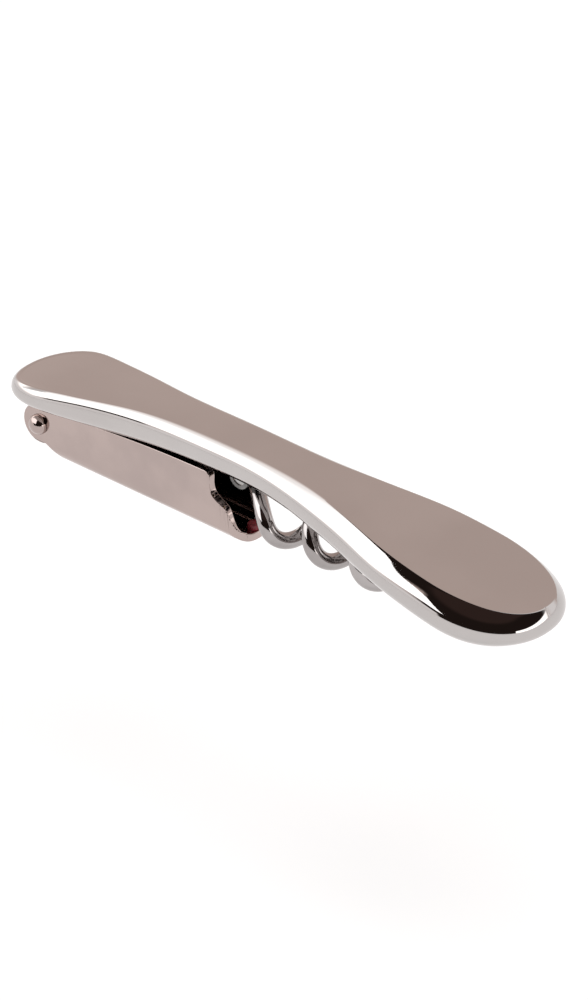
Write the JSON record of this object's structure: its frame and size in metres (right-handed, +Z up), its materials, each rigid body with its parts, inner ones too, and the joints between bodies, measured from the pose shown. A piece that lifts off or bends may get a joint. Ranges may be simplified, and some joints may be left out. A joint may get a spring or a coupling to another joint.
{
  "type": "lever corkscrew",
  "caption": "Folding lever corkscrew with a sculpted metal handle, a hinged channel lever for the bottle lip and a hinged wire worm.",
  "frame": {"origin": "on the resting plane, under the middle of the folded tool's overall box", "axes": "+X along the handle from the hinge lobe to the paddle, +Y across the handle, +Z up from the resting plane to the handle's top face"},
  "size_m": [0.119, 0.0246, 0.019],
  "materials": {
    "handle_chrome": "polished chrome plate on a zinc casting",
    "lever_steel": "polished plated sheet steel",
    "worm_steel": "polished plated wire",
    "bracket_steel": "stamped and tumbled steel",
    "fastener_steel": "bright steel",
    "washer_brass": "plain brass",
    "spring_steel": "blued spring steel",
    "pad_red": "dark red moulded rubber"
  },
  "bodies": {
    "handle": {"handle_body": "handle_chrome", "hinge_bracket": "bracket_steel", "hinge_bracket_screw": "fastener_steel", "hinge_sleeve": "fastener_steel", "lever_rivet": "handle_chrome", "lever_washer_near": "washer_brass", "lever_washer_far": "washer_brass", "worm_bracket": "bracket_steel", "worm_bracket_screw": "fastener_steel", "detent_spring": "spring_steel", "worm_pin": "fastener_steel", "worm_washer_near": "washer_brass", "worm_washer_far": "washer_brass"},
    "lever": {"lever": "lever_steel", "toe_pad": "pad_red"},
    "worm": {"worm": "worm_steel"}
  },
  "joints": [
    {"name": "worm_swing", "type": "hinge", "parent": "handle", "child": "worm", "pos_m": [-0.0063, 0, 0.0124], "axis": [0, 1, 0], "range_deg": [0, 100]},
    {"name": "lever_swing", "type": "hinge", "parent": "handle", "child": "lever", "pos_m": [-0.0519, 0, 0.0066], "axis": [0, 1, 0], "range_deg": [0, 150]}
  ],
  "couplings": [
    {"joint": "lever_swing", "follows": "worm_swing", "ratio": 1.5}
  ]
}
